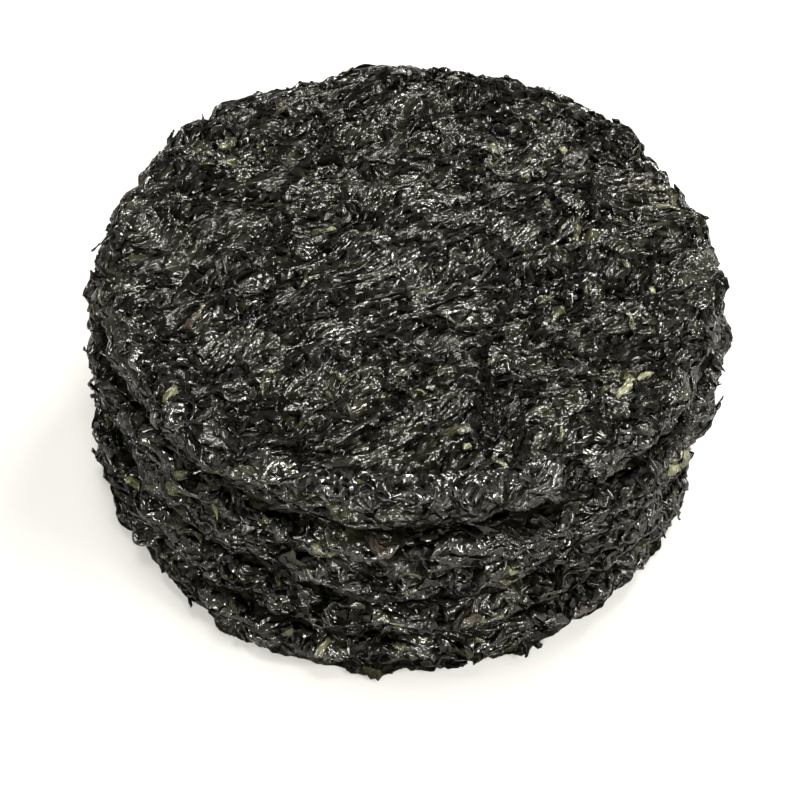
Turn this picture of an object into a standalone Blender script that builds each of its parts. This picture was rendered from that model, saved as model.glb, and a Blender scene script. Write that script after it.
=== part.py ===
"""A stack of five round cakes of dried purple laver, without its plate.

Each cake is a pressed mat of crinkled fronds: a lumpy disc with a rolled, ragged rim, and loose flakes
of frond that stand out of it. The stack stands on the origin, +Z up, and sizes are in metres.
"""

import math
import random

import bmesh
import bpy
import numpy as np
from mathutils import Matrix, Vector, noise

# The stack.
MEAN_RADIUS = 0.098
STACK_HEIGHT = 0.0786
CAKE_GAP = 0.0006

# Each cake, bottom to top: its share of the height, its radius over the mean, and how far it was
# set down off the middle, along X and Y.
CAKES = (
    {"name": "laver_cake_1", "share": 0.185, "size": 0.990, "shift": (-0.0012, -0.0018)},
    {"name": "laver_cake_2", "share": 0.190, "size": 0.980, "shift": (-0.0020, -0.0008)},
    {"name": "laver_cake_3", "share": 0.200, "size": 0.974, "shift": (0.0000, 0.0018)},
    {"name": "laver_cake_4", "share": 0.215, "size": 1.006, "shift": (0.0018, 0.0026)},
    {"name": "laver_cake_5", "share": 0.210, "size": 0.955, "shift": (0.0017, 0.0012)},
)
TOP = len(CAKES) - 1

# The rim of a cake: the faces roll over into the side across this width, squarer at the foot.
ROLL_WIDTH = 0.0072
ROLL_POWER = 0.52
FOOT_POWER = 0.36
OUTLINE_SWAY = 0.0026
OUTLINE_SWAY_TURNS = 2.2
SEAM_WAVE = 0.0030
SEAM_WAVE_TURNS = 2.6

# Relief: large lumps, then crinkled ridges, on the side and on the face that shows.
SIDE_LUMP = {"height": 0.0026, "across": 0.0130}
SIDE_RIDGE = {"height": 0.0013, "across": 0.0080}
FACE_LUMP = {"height": 0.0022, "across": 0.0230}
FACE_RIDGE = {"height": 0.0016, "across": 0.0095}
FACE_STRETCH = 2.0
GRAIN_DIRECTION = math.radians(18)

# Hollows in the upper face, in metres from the middle of the cake: where, how long, wide and deep.
HOLLOWS = (
    {"at": (-0.0335, -0.0039), "turn": 25, "length": 0.013, "width": 0.0036, "depth": 0.0044},
    {"at": (0.051, 0.020), "turn": -35, "length": 0.008, "width": 0.0040, "depth": 0.0030},
    {"at": (0.034, -0.036), "turn": 10, "length": 0.009, "width": 0.0042, "depth": 0.0030},
    {"at": (-0.052, -0.031), "turn": 65, "length": 0.008, "width": 0.0038, "depth": 0.0026},
    {"at": (-0.004, 0.062), "turn": 85, "length": 0.009, "width": 0.0042, "depth": 0.0024},
)

# Flakes of frond fused to the cakes. A rim flake lies along the rim with its outer part free.
FLAKE_THICKNESS = 0.0010
FLAKE_SEGMENTS = 4
RIM_FLAKES = 11
RIM_FLAKE_LENGTH = (0.0090, 0.0160)
RIM_FLAKE_WIDTH = (0.0070, 0.0100)
RIM_FLAKE_FREE = (0.0016, 0.0034)
FACE_FLAKES = 24
FACE_FLAKE_LENGTH = (0.0100, 0.0170)
FACE_FLAKE_WIDTH = (0.0045, 0.0080)

# The flakes that stand out furthest: the cake, the bearing, the length and width, how far it
# reaches out of the rim, how far it is turned from the radius, and how far it dips.
LONG_FLAKES = (
    {"cake": 4, "bearing": 187, "length": 0.012, "width": 0.0070, "free": 0.0062, "turn": 24, "dip": 14},
    {"cake": 4, "bearing": 194, "length": 0.011, "width": 0.0050, "free": 0.0070, "turn": -18, "dip": 20},
    {"cake": 4, "bearing": 27, "length": 0.012, "width": 0.0090, "free": 0.0042, "turn": 10, "dip": -8},
    {"cake": 4, "bearing": -20, "length": 0.013, "width": 0.0085, "free": 0.0048, "turn": -20, "dip": 8},
    {"cake": 3, "bearing": -16, "length": 0.011, "width": 0.0080, "free": 0.0036, "turn": 30, "dip": 4},
    {"cake": 3, "bearing": 201, "length": 0.012, "width": 0.0100, "free": 0.0036, "turn": 0, "dip": 6},
    {"cake": 2, "bearing": 214, "length": 0.011, "width": 0.0060, "free": 0.0050, "turn": 25, "dip": 12},
    {"cake": 1, "bearing": -28, "length": 0.014, "width": 0.0065, "free": 0.0075, "turn": -15, "dip": 2},
    {"cake": 0, "bearing": 229, "length": 0.011, "width": 0.0060, "free": 0.0048, "turn": -20, "dip": 8},
    {"cake": 0, "bearing": -65, "length": 0.013, "width": 0.0060, "free": 0.0060, "turn": 12, "dip": 4},
)
FLOOR_CLEARANCE = 0.0002

# How finely a cake is turned before it is thinned, and the triangles that it keeps.
TURN_STEPS = 150
FACE_RINGS = 26
HIDDEN_RINGS = 6
ROLL_RINGS = 12
TRIANGLES_TOP = 2830
TRIANGLES_LOWER = 1240

LAVER_COLOUR = (0.020, 0.021, 0.016, 1.0)
LAVER_ROUGHNESS = 0.42


def clear_scene():
    for obj in list(bpy.data.objects):
        bpy.data.objects.remove(obj, do_unlink=True)


def new_collection(name):
    collection = bpy.data.collections.new(name)
    bpy.context.scene.collection.children.link(collection)
    return collection


def laver_material(name):
    material = bpy.data.materials.new(name)
    material.use_nodes = True
    shader = material.node_tree.nodes["Principled BSDF"]
    shader.inputs["Base Color"].default_value = LAVER_COLOUR
    shader.inputs["Roughness"].default_value = LAVER_ROUGHNESS
    shader.inputs["Metallic"].default_value = 0.0
    return material


def smoothstep(low, high, value):
    t = min(max((value - low) / (high - low), 0.0), 1.0)
    return t * t * (3.0 - 2.0 * t)


def lump(x, y, z, across, seed):
    """Rounded swells and dips, from -1 to 1, about across wide."""
    return noise.noise(Vector((x, y, z)) / across + Vector((7.3, 1.9, 4.1)) * seed)


def ridge(x, y, z, across, seed):
    """Sharp crests between rounded dips, as in crinkled fronds, from about -1 to 1."""
    bend_x = 0.6 * lump(x, y, z, 2.5 * across, seed + 11)
    bend_y = 0.6 * lump(x, y, z, 2.5 * across, seed + 17)
    place = Vector((x, y, z)) / across + Vector((bend_x, bend_y, 0.0))
    crest = noise.noise(place + Vector((3.7, 8.1, 2.3)) * seed)
    return 1.0 - 3.2 * abs(crest)


def seam_lift(seam, x, y):
    """Height of a seam between two cakes, or of the uppermost face, above its level plane."""
    if seam == 0:
        return 0.0
    turn = math.atan2(y, x)
    reach = min(math.hypot(x, y) / MEAN_RADIUS, 1.0)
    wave = lump(SEAM_WAVE_TURNS * math.cos(turn), SEAM_WAVE_TURNS * math.sin(turn), 0.0, 1.0, 20 + seam)
    return SEAM_WAVE * wave * reach * reach


def section(radius, half, face_rings, lower_power):
    """The turned profile of a plain cake, from the axis over the top face and round the rim to below."""
    flat = radius - ROLL_WIDTH
    points = [(flat * k / face_rings, half) for k in range(face_rings)]
    for k in range(ROLL_RINGS + 1):
        angle = math.pi * (0.5 - k / ROLL_RINGS)
        power = ROLL_POWER if angle > 0.0 else lower_power
        out = max(math.cos(angle), 0.0) ** power
        up = math.copysign(abs(math.sin(angle)) ** power, math.sin(angle))
        points.append((flat + ROLL_WIDTH * out, half * up))
    points += [(flat * k / HIDDEN_RINGS, -half) for k in reversed(range(HIDDEN_RINGS))]
    return points


def turned(name, profile):
    """The profile turned about Z by a Screw modifier, as a mesh."""
    outline = bpy.data.meshes.new(name + "_profile")
    edges = [(k, k + 1) for k in range(len(profile) - 1)]
    outline.from_pydata([(r, 0.0, z) for r, z in profile], edges, [])
    obj = bpy.data.objects.new(name + "_profile", outline)
    bpy.context.scene.collection.objects.link(obj)
    screw = obj.modifiers.new("turn", "SCREW")
    screw.axis = "Z"
    screw.steps = TURN_STEPS
    screw.render_steps = TURN_STEPS
    screw.use_merge_vertices = True
    screw.merge_threshold = 0.00005
    screw.use_normal_calculate = True
    bpy.context.view_layer.update()
    mesh = bpy.data.meshes.new_from_object(obj.evaluated_get(bpy.context.evaluated_depsgraph_get()))
    bpy.data.objects.remove(obj, do_unlink=True)
    mesh.name = name
    return mesh


def hollow_depth(x, y):
    """How far the upper face is pressed in at a point, by the hollows and the lips round them."""
    depth = 0.0
    for hollow in HOLLOWS:
        turn = math.radians(hollow["turn"])
        dx, dy = x - hollow["at"][0], y - hollow["at"][1]
        along = (dx * math.cos(turn) + dy * math.sin(turn)) / hollow["length"]
        across = (dy * math.cos(turn) - dx * math.sin(turn)) / hollow["width"]
        reach = along * along + across * across
        depth += hollow["depth"] * (math.exp(-1.6 * reach) - 0.35 * math.exp(-0.5 * (reach - 2.2) ** 2))
    return depth


def face_relief(x, y, seed):
    """Height added to the face that shows: the fronds lie mostly along one grain."""
    along = (x * math.cos(GRAIN_DIRECTION) + y * math.sin(GRAIN_DIRECTION)) / FACE_STRETCH
    across = y * math.cos(GRAIN_DIRECTION) - x * math.sin(GRAIN_DIRECTION)
    swell = FACE_LUMP["height"] * lump(x, y, 0.0, FACE_LUMP["across"], seed)
    crinkle = FACE_RIDGE["height"] * ridge(along, across, 0.0, FACE_RIDGE["across"], seed)
    return swell + crinkle - hollow_depth(x, y)


def side_relief(x, y, z, seed):
    """How far the rim stands out at a point."""
    turn = math.atan2(y, x)
    sway_x = OUTLINE_SWAY_TURNS * math.cos(turn)
    sway_y = OUTLINE_SWAY_TURNS * math.sin(turn)
    sway = OUTLINE_SWAY * lump(sway_x, sway_y, 0.0, 1.0, seed)
    swell = SIDE_LUMP["height"] * lump(x, y, 2.0 * z, SIDE_LUMP["across"], seed)
    crinkle = SIDE_RIDGE["height"] * ridge(x, y, 1.6 * z, SIDE_RIDGE["across"], seed)
    return sway + swell + crinkle


def roughen(mesh, radius, half, index):
    """Moves the points of a plain cake out to its crinkled surface."""
    seed = index + 1
    flat = radius - ROLL_WIDTH
    for vertex in mesh.vertices:
        x, y, z = vertex.co
        r = max(math.hypot(x, y), 1e-9)
        level = z / half
        rolled = smoothstep(flat - 0.002, flat + 0.5 * ROLL_WIDTH, r)
        push = rolled * side_relief(x, y, z, seed) / r
        lift = 0.5 * (1.0 - level) * seam_lift(index, x, y)
        lift += 0.5 * (1.0 + level) * seam_lift(index + 1, x, y)
        if index == TOP and z > 0.0:
            lift += face_relief(x, y, seed) * (1.0 - 0.4 * rolled) * smoothstep(0.0, half, z)
        vertex.co = (x * (1.0 + push), y * (1.0 + push), z + lift)


def thinned(mesh, triangles):
    """The mesh with about that many triangles, most of them where it is crinkled."""
    obj = bpy.data.objects.new(mesh.name + "_dense", mesh)
    bpy.context.scene.collection.objects.link(obj)
    split = obj.modifiers.new("split", "TRIANGULATE")
    split.quad_method = "SHORTEST_DIAGONAL"
    count = sum(len(face.vertices) - 2 for face in mesh.polygons)
    thin = obj.modifiers.new("thin", "DECIMATE")
    thin.decimate_type = "COLLAPSE"
    thin.ratio = triangles / count
    bpy.context.view_layer.update()
    made = bpy.data.meshes.new_from_object(obj.evaluated_get(bpy.context.evaluated_depsgraph_get()))
    bpy.data.objects.remove(obj, do_unlink=True)
    made.name = mesh.name
    return made


def flake(name, length, width, draw):
    """A thin wavy flake along X, widest at its middle, with ragged edges and both faces split alike."""
    shape = bmesh.new()
    bmesh.ops.create_grid(shape, x_segments=FLAKE_SEGMENTS, y_segments=1, size=0.5)
    bmesh.ops.triangulate(shape, faces=shape.faces)
    bend = draw.uniform(-0.10, 0.16)
    twist = draw.uniform(-0.35, 0.35)
    wave = draw.uniform(0.0, 2.0 * math.pi)
    for vertex in shape.verts:
        t = 2.0 * vertex.co.x
        side = 2.0 * vertex.co.y
        girth = 0.5 * width * (1.0 - 0.55 * t * t) * draw.uniform(0.82, 1.12)
        x = 0.5 * length * (t + 0.10 * side * math.sin(wave + 3.0 * t))
        y = girth * side
        z = length * bend * t * t + 0.05 * width * math.sin(wave + 4.0 * t) + y * math.sin(twist * t)
        vertex.co = (x, y, z)
    bmesh.ops.solidify(shape, geom=shape.faces[:], thickness=FLAKE_THICKNESS)
    bmesh.ops.recalc_face_normals(shape, faces=shape.faces)
    mesh = bpy.data.meshes.new(name)
    shape.to_mesh(mesh)
    shape.free()
    return mesh


def surface_hit(cake, origin, direction):
    """Where a ray meets the cake, or None."""
    found, place, _, _ = cake.ray_cast(origin, direction)
    return place if found else None


def place_flake(flakes, mesh, place, heading, pitch, spin):
    """Lays a flake with its middle at a place, turned from +X to a heading, then tilted."""
    turn = Matrix.Rotation(heading, 4, "Z") @ Matrix.Rotation(pitch, 4, "Y") @ Matrix.Rotation(spin, 4, "X")
    obj = bpy.data.objects.new(mesh.name, mesh)
    obj.matrix_world = Matrix.Translation(place) @ turn
    flakes.objects.link(obj)


def rim_flakes(cake, flakes, radius, half, draw):
    """Flakes spread evenly round the rim, lying along it."""
    for k in range(RIM_FLAKES):
        bearing = 2.0 * math.pi * (k + draw.uniform(-0.35, 0.35)) / RIM_FLAKES
        out = Vector((math.cos(bearing), math.sin(bearing), 0.0))
        level = half * draw.uniform(-0.30, 0.40)
        width = draw.uniform(*RIM_FLAKE_WIDTH)
        free = draw.uniform(*RIM_FLAKE_FREE)
        mesh = flake(f"{cake.name}_rim_flake_{k}", draw.uniform(*RIM_FLAKE_LENGTH), width, draw)
        heading = bearing + 0.5 * math.pi + draw.uniform(-0.45, 0.45)
        pitch = draw.uniform(-0.12, 0.12)
        spin = draw.uniform(-0.22, 0.22)
        hit = surface_hit(cake, out * 2.0 * radius + Vector((0.0, 0.0, level)), -out)
        if hit is not None:
            place_flake(flakes, mesh, hit + out * (free - 0.5 * width), heading, pitch, spin)


def long_flakes(cake, flakes, index, radius, half, draw):
    """The flakes that stand out furthest, each with its root in the side."""
    for k, tip in enumerate(LONG_FLAKES):
        if tip["cake"] != index:
            continue
        bearing = math.radians(tip["bearing"])
        out = Vector((math.cos(bearing), math.sin(bearing), 0.0))
        hit = surface_hit(cake, out * 2.0 * radius + Vector((0.0, 0.0, 0.2 * half)), -out)
        mesh = flake(f"{cake.name}_long_flake_{k}", tip["length"], tip["width"], draw)
        heading = bearing + math.radians(tip["turn"])
        if hit is not None:
            place = hit + out * (tip["free"] - 0.5 * tip["length"])
            place_flake(flakes, mesh, place, heading, math.radians(tip["dip"]), draw.uniform(-0.25, 0.25))


def face_flakes(cake, flakes, radius, half, draw):
    """Flakes that lift at one end off the upper face, spread by the golden angle."""
    golden = math.pi * (3.0 - math.sqrt(5.0))
    for k in range(FACE_FLAKES):
        reach = (radius - 1.6 * ROLL_WIDTH) * math.sqrt((k + 0.5) / FACE_FLAKES)
        above = Vector((reach * math.cos(golden * k), reach * math.sin(golden * k), 4.0 * half))
        length = draw.uniform(*FACE_FLAKE_LENGTH)
        mesh = flake(f"{cake.name}_face_flake_{k}", length, draw.uniform(*FACE_FLAKE_WIDTH), draw)
        heading = GRAIN_DIRECTION + draw.uniform(-0.7, 0.7) + math.pi * draw.randrange(2)
        pitch = -draw.uniform(0.10, 0.20)
        spin = draw.uniform(-0.12, 0.12)
        hit = surface_hit(cake, above, Vector((0.0, 0.0, -1.0)))
        if hit is not None:
            place_flake(flakes, mesh, hit, heading, pitch, spin)


def lift_off_floor(flakes, floor):
    """Bends any flake that would pass below the floor back up to it."""
    for obj in flakes.objects:
        back = obj.matrix_world.inverted()
        for vertex in obj.data.vertices:
            world = obj.matrix_world @ vertex.co
            world.z = max(world.z, floor + FLOOR_CLEARANCE)
            vertex.co = back @ world


def join_flakes(cake, flakes):
    """One Boolean union of the cake with the flakes in their collection."""
    joined = cake.modifiers.new("flakes", "BOOLEAN")
    joined.operation = "UNION"
    joined.operand_type = "COLLECTION"
    joined.collection = flakes
    joined.solver = "MANIFOLD"
    bpy.context.view_layer.update()
    mesh = bpy.data.meshes.new_from_object(cake.evaluated_get(bpy.context.evaluated_depsgraph_get()))
    mesh.name = cake.name
    cake.modifiers.clear()
    cake.data = mesh
    for obj in list(flakes.objects):
        bpy.data.objects.remove(obj, do_unlink=True)
    bpy.data.collections.remove(flakes)


def keep_outer_shell(mesh):
    """Fills the hollows that fusing sealed and drops loose scraps, by keeping the largest shell."""
    shape = bmesh.new()
    shape.from_mesh(mesh)
    bmesh.ops.triangulate(shape, faces=shape.faces)
    seen = set()
    shells = []
    for start in shape.faces:
        if start in seen:
            continue
        seen.add(start)
        shell = [start]
        for face in shell:
            for edge in face.edges:
                for other in edge.link_faces:
                    if other not in seen:
                        seen.add(other)
                        shell.append(other)
        shells.append(shell)
    shells.sort(key=len)
    for shell in shells[:-1]:
        bmesh.ops.delete(shape, geom=shell, context="FACES")
    shape.to_mesh(mesh)
    shape.free()


def make_cake(collection, index, base):
    """One cake with its flakes, standing on the height base."""
    cake = CAKES[index]
    thickness = STACK_HEIGHT * cake["share"]
    half = 0.5 * (thickness - CAKE_GAP)
    radius = MEAN_RADIUS * cake["size"]
    draw = random.Random(101 + index)

    face_rings = FACE_RINGS if index == TOP else HIDDEN_RINGS
    profile = section(radius, half, face_rings, FOOT_POWER if index == 0 else ROLL_POWER)
    mesh = turned(cake["name"], profile)
    roughen(mesh, radius, half, index)
    mesh = thinned(mesh, TRIANGLES_TOP if index == TOP else TRIANGLES_LOWER)

    obj = bpy.data.objects.new(cake["name"], mesh)
    collection.objects.link(obj)
    flakes = new_collection(cake["name"] + "_flakes")
    bpy.context.view_layer.update()
    rim_flakes(obj, flakes, radius, half, draw)
    long_flakes(obj, flakes, index, radius, half, draw)
    if index == TOP:
        face_flakes(obj, flakes, radius, half, draw)
    bpy.context.view_layer.update()
    if index == 0:
        lift_off_floor(flakes, -half)
    join_flakes(obj, flakes)
    keep_outer_shell(obj.data)

    middle = base + 0.5 * thickness
    obj.data.transform(Matrix.Translation((*cake["shift"], middle)))
    obj.data.shade_smooth()
    obj.data.set_sharp_from_angle(angle=math.radians(38))
    obj.data.materials.clear()
    obj.data.materials.append(laver_material("dried_laver_" + str(index + 1)))
    return obj


def stand_on_origin(cakes):
    """Moves the stack so that its box is centred on the origin and stands at z = 0."""
    corners = np.array([vertex.co for obj in cakes for vertex in obj.data.vertices])
    low, high = corners.min(axis=0), corners.max(axis=0)
    move = Vector((-(low[0] + high[0]) / 2, -(low[1] + high[1]) / 2, -low[2]))
    for obj in cakes:
        obj.data.transform(Matrix.Translation(move))


def main():
    clear_scene()
    stack = new_collection("dried_laver_stack")
    base = 0.0
    cakes = []
    for index, cake in enumerate(CAKES):
        cakes.append(make_cake(stack, index, base))
        base += STACK_HEIGHT * cake["share"]
    stand_on_origin(cakes)


main()
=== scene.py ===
"""Looks of a stack of five dried purple laver cakes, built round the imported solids.

Each cake is a fine crinkled mat that follows its solid. Fronds, flakes, folds and tufts lie over the
mats. Lengths are in millimetres until a mesh is written, and those of the stage are in metres.
"""

import math

import bpy
import numpy as np
from mathutils import Matrix, Vector, noise

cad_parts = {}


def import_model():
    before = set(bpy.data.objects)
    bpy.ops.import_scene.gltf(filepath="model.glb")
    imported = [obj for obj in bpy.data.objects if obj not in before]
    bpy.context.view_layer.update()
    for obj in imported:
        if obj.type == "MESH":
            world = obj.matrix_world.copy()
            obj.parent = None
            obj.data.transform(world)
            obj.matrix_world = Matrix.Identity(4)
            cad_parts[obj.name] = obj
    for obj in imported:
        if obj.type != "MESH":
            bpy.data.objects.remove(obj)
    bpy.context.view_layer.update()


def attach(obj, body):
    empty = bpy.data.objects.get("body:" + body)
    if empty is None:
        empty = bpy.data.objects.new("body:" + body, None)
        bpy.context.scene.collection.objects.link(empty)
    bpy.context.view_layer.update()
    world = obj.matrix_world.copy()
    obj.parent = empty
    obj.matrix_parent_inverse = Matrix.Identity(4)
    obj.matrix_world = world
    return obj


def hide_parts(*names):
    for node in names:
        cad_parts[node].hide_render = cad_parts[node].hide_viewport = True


MM = 0.001

# ---------------------------------------------------------------- the form, as in the solids
MEAN_RADIUS = 98.0
STACK_HEIGHT = 78.6
CAKE_GAP = 0.6
CAKES = (
    {"name": "laver_cake_1", "share": 0.185, "size": 0.990, "shift": (-1.2, -1.8)},
    {"name": "laver_cake_2", "share": 0.190, "size": 0.980, "shift": (-2.0, -0.8)},
    {"name": "laver_cake_3", "share": 0.200, "size": 0.974, "shift": (0.0, 1.8)},
    {"name": "laver_cake_4", "share": 0.215, "size": 1.006, "shift": (1.8, 2.6)},
    {"name": "laver_cake_5", "share": 0.210, "size": 0.955, "shift": (1.7, 1.2)},
)
TOP = len(CAKES) - 1
ROLL_WIDTH = 7.2
ROLL_POWER = 0.52
FOOT_POWER = 0.36
OUTLINE_SWAY = 2.6
OUTLINE_SWAY_TURNS = 2.2
SEAM_WAVE = 3.0
SEAM_WAVE_TURNS = 2.6
SIDE_LUMP = (2.6, 13.0)
SIDE_RIDGE = (1.3, 8.0)
FACE_LUMP = (2.2, 23.0)
FACE_RIDGE = (1.6, 9.5)
FACE_STRETCH = 2.0
GRAIN_DIRECTION = math.radians(18)
HOLLOWS = (
    {"at": (-33.5, -3.9), "turn": 25, "length": 13.0, "width": 3.6, "depth": 4.4},
    {"at": (51.0, 20.0), "turn": -35, "length": 8.0, "width": 4.0, "depth": 3.0},
    {"at": (34.0, -36.0), "turn": 10, "length": 9.0, "width": 4.2, "depth": 3.0},
    {"at": (-52.0, -31.0), "turn": 65, "length": 8.0, "width": 3.8, "depth": 2.6},
    {"at": (-4.0, 62.0), "turn": 85, "length": 9.0, "width": 4.2, "depth": 2.4},
)
STACK_MOVE = (-0.99, -2.48, -0.30)

# How far the mats draw in at the seams, past the solids.
UNDERCUT = 4.2

# ---------------------------------------------------------------- how fine the mats are
COLUMNS = 896
FIRST_COLUMNS = 28
FACE_STEP = 0.68
SIDE_STEP = 0.64

# ---------------------------------------------------------------- how many fronds, and where
FACE_RIBBONS = 700
FACE_FLAKES = 1500
FACE_STREAKS = 180
SIDE_RIBBONS = 230
SIDE_FLAKES = 420
LIP_FOLDS = 210
FRINGE_FLAKES = 64
# The band of streaks over the face, the folds of the lip with the spread of their bearing in degrees,
# how far out the small coloured flakes lie, the share of pale fronds, and how low a frond may reach.
BAND_CENTRE = (-6.0, -8.0)
BAND_REACH = (62.0, 24.0)
LIP_BEARING = (-86.0, 17.0)
LIP_FRONT_SHARE = 0.80
BIT_REACH = 84.0
PALE_SHARE = 0.07
LEAST_HEIGHT = 0.1
# Seeds of the random draws.
FACE_DRAW, SIDE_DRAW, LIP_DRAW, TUFT_DRAW, BIT_DRAW = 11, 20, 31, 32, 41

# ---------------------------------------------------------------- how the laver takes light
# Densities are in cells per millimetre of the grain coordinates, the scale of the zones is in cells per
# metre, and heights are in bump distances. Pairs go from the smooth zones to the crumpled ones.
FACET_DENSITY = 0.62
STRAND_DENSITY = 0.75
PATCH_DENSITY = 0.16
STRIP_PATCH_DENSITY = 0.30
PATCH_ROUGHNESS = 0.68
PATCH_CONTRAST = 1.1
FACET_HEIGHT = (1.4, 3.5)
STRAND_HEIGHT = 2.2
BUMP_DISTANCE = 0.7
ZONE_SCALE = 62.0
ZONE_EDGES = (0.34, 0.54)
GRAIN_STRETCH = 2.2
GLOSS = (0.30, 0.17)
SATIN_GLOSS = (0.28, 0.17)
LAVER_IOR = 1.48
STREAK_IOR = 1.58
LIP_IOR = 1.95
# Painted shade in the seams, grooves and hollows: the specular level there, and the share of the base
# colour kept.
SEAM_SHADE_SPECULAR = 0.03
SEAM_SHADE_DIMMING = 0.45

# ---------------------------------------------------------------- noise
_rng = np.random.default_rng(7)
_perm = np.tile(_rng.permutation(256).astype(np.int32), 2)
_grad = _rng.normal(size=(256, 3)).astype(np.float32)
_grad /= np.linalg.norm(_grad, axis=1, keepdims=True)
_cell = _rng.uniform(-1.0, 1.0, size=(256, 5)).astype(np.float32)


def swell(points, seed=0):
    """Smooth gradient noise from about -1 to 1 at points given in cell units, as an N by 3 array."""
    p = np.asarray(points, np.float32) + np.float32(17.31 * seed)
    cell = np.floor(p).astype(np.int32)
    f = p - cell
    w = f * f * f * (f * (f * 6.0 - 15.0) + 10.0)
    total = np.zeros(len(p), np.float32)
    for dx in (0, 1):
        wx = w[:, 0] if dx else 1.0 - w[:, 0]
        px = _perm[(cell[:, 0] + dx) & 255]
        for dy in (0, 1):
            wy = w[:, 1] if dy else 1.0 - w[:, 1]
            py = _perm[px + ((cell[:, 1] + dy) & 255)]
            for dz in (0, 1):
                wz = w[:, 2] if dz else 1.0 - w[:, 2]
                g = _grad[_perm[py + ((cell[:, 2] + dz) & 255)]]
                dot = g[:, 0] * (f[:, 0] - dx) + g[:, 1] * (f[:, 1] - dy) + g[:, 2] * (f[:, 2] - dz)
                total += wx * wy * wz * dot
    return total * 1.7


def crest(points, seed=0):
    """Sharp crests between rounded dips, from about -1 to 1."""
    return 1.0 - 3.0 * np.abs(swell(points, seed))


def facets(u, v, seed, around=0):
    """Crumpled film: bulging facets with sharp creases between them, in cells one unit wide.

    Around is how many cells of u close a ring, or 0 where it doesn't close.
    """
    column, row = np.floor(u).astype(np.int64), np.floor(v).astype(np.int64)
    best = np.full(len(u), -9.0, np.float32)
    for du in (-1, 0, 1):
        i = column + du
        key = np.mod(i, around) if around else i
        first = _perm[(key + 37 * seed) & 255]
        for dv in (-1, 0, 1):
            j = row + dv
            cell = _cell[_perm[first + ((j + 11 * seed) & 255)]]
            x = u - (i + 0.5 + 0.4 * cell[:, 0])
            y = v - (j + 0.5 + 0.4 * cell[:, 1])
            lean = cell[:, 2] * x + cell[:, 3] * y
            height = 0.28 * cell[:, 4] + 0.75 * lean - 0.85 * (x * x + y * y)
            best = np.maximum(best, height)
    return best + 0.15


def stack(*parts):
    """Arrays joined as the coordinates of points."""
    return np.stack(parts, axis=-1)


def ramp(low, high, value):
    """Smooth step of a value from 0 at low to 1 at high, where low may be the greater."""
    t = np.clip((value - low) / (high - low), 0.0, 1.0)
    return t * t * (3.0 - 2.0 * t)


# ---------------------------------------------------------------- the form of a cake
def lump(x, y, z, across, seed):
    """Soft swells, from about -1 to 1, at one point."""
    return noise.noise(Vector((x, y, z)) / across + Vector((7.3, 1.9, 4.1)) * seed)


def ridge(x, y, z, across, seed):
    """Bent ridges, from about -2 to 1, at one point."""
    bend_x = 0.6 * lump(x, y, z, 2.5 * across, seed + 11)
    bend_y = 0.6 * lump(x, y, z, 2.5 * across, seed + 17)
    place = Vector((x, y, z)) / across + Vector((bend_x, bend_y, 0.0))
    return 1.0 - 3.2 * abs(noise.noise(place + Vector((3.7, 8.1, 2.3)) * seed))


def seam_wave(seam, turns):
    """Height of a seam at the rim, above its level plane, at each of the turns."""
    if seam == 0:
        return np.zeros(len(turns))
    k = SEAM_WAVE_TURNS
    waves = [lump(k * math.cos(a), k * math.sin(a), 0.0, 1.0, 20 + seam) for a in turns]
    return SEAM_WAVE * np.array(waves)


def hollow_depth(x, y):
    """Depth of the hollows of the upper face at points, below zero on their raised borders."""
    depth = np.zeros_like(x)
    for hollow in HOLLOWS:
        turn = math.radians(hollow["turn"])
        dx, dy = x - hollow["at"][0], y - hollow["at"][1]
        along = (dx * math.cos(turn) + dy * math.sin(turn)) / hollow["length"]
        across = (dy * math.cos(turn) - dx * math.sin(turn)) / hollow["width"]
        reach = along * along + across * across
        depth += hollow["depth"] * (np.exp(-1.6 * reach) - 0.35 * np.exp(-0.5 * (reach - 2.2) ** 2))
    return depth


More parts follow.
